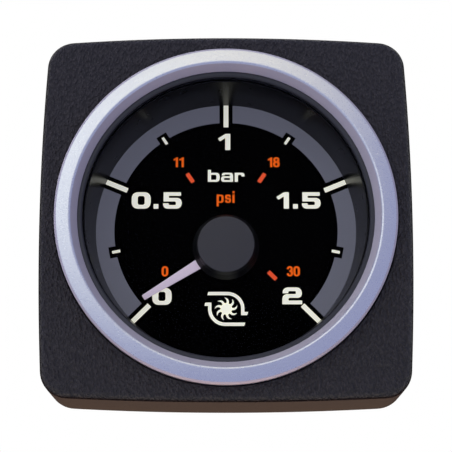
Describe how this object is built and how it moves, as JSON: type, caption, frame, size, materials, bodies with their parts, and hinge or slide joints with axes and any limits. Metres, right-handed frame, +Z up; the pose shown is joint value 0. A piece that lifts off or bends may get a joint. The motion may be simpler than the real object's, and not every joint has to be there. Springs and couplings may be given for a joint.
{
  "type": "boost gauge",
  "caption": "Round mechanical boost gauge with a tube-and-sector movement, clamped in a square grained surround.",
  "frame": {"origin": "on the gauge's axis, in the plane of the surround's rear rim, at the centre of its four screw bosses", "axes": "+Y rearward along the pressure stem, the dial faces -Y, +Z up to twelve o'clock, +X to the reader's right"},
  "size_m": [0.0662, 0.064, 0.0662],
  "materials": {
    "grained_abs": "leather-grained black moulding",
    "satin_ring": "fine satin plating",
    "black_rubber": "matte",
    "clear_glass": "flat clear",
    "black_shroud": "satin moulding",
    "printed_dial": "matte black print on sheet",
    "pointer_paint": "pale matte paint",
    "hub_plastic": "fine satin moulding",
    "steel": "turned",
    "spring_steel": "blued strip",
    "brass": "machined",
    "bronze_tube": "drawn tube",
    "white_plastic": "moulded",
    "black_steel": "black lacquer on drawn steel",
    "fibre": "red fibre washer",
    "zinc_steel": "zinc plated",
    "lamp_glass": "clear bulb",
    "black_nylon": "moulded"
  },
  "bodies": {
    "case": {"surround": "grained_abs", "bezel_ring": "satin_ring", "lens_gasket": "black_rubber", "lens": "clear_glass", "flange_seal": "black_rubber", "panel_gasket": "black_rubber", "shroud": "black_shroud", "dial_plate": "printed_dial", "hairspring": "spring_steel", "hairspring_stud": "steel", "bourdon_tube": "bronze_tube", "pressure_socket": "brass", "restrictor": "steel", "front_plate": "brass", "rear_plate": "brass", "pillars": "steel", "pillar_screws": "steel", "plate_screws": "steel", "pivot_bushes": "brass", "light_sleeve": "white_plastic", "case_can": "black_steel", "stem_seal": "fibre", "stem_lockwasher": "zinc_steel", "stem_nut": "zinc_steel", "clamp_studs": "zinc_steel", "clamp_bracket": "zinc_steel", "stud_washers": "zinc_steel", "knurled_nuts": "brass", "lamp_holders": "black_nylon", "bulbs": "lamp_glass", "lamp_blades": "brass", "earth_tab": "brass", "earth_rivet": "steel"},
    "pointer": {"pointer": "pointer_paint", "hub_cap": "hub_plastic", "pointer_shaft": "steel", "pinion": "brass", "hairspring_collet": "brass"},
    "sector": {"sector_gear": "brass", "sector_arbor": "steel", "tail_pin": "steel"},
    "link": {"link": "brass"},
    "tube_end": {"tube_tip": "brass", "tip_pin": "steel"}
  },
  "joints": [
    {"name": "sector_swing", "type": "hinge", "parent": "case", "child": "sector", "pos_m": [0.01269, 0.0037, -0.00822], "axis": [0, 1, 0], "range_deg": [-31.16, 0.69], "stiffness_Nm_per_rad": 0.02},
    {"name": "pointer_sweep", "type": "hinge", "parent": "case", "child": "pointer", "pos_m": [0, 0.0037, -0.0036], "axis": [0, 1, 0], "range_deg": [-5.5, 249.3], "deforming": ["hairspring"]},
    {"name": "link_swing", "type": "hinge", "parent": "sector", "child": "link", "pos_m": [0.01703, 0.0017, -0.00941], "axis": [0, 1, 0], "range_deg": [-0.68, 30.85]},
    {"name": "tube_flex", "type": "hinge", "parent": "case", "child": "tube_end", "pos_m": [0, 0.0062, 0], "axis": [0, 1, 0], "range_deg": [-8.13, 0.18], "deforming": ["bourdon_tube"]}
  ],
  "couplings": [
    {"joint": "pointer_sweep", "follows": "sector_swing", "ratio": -8},
    {"joint": "link_swing", "follows": "sector_swing", "ratio": -0.99},
    {"joint": "tube_flex", "follows": "sector_swing", "ratio": 0.261}
  ]
}
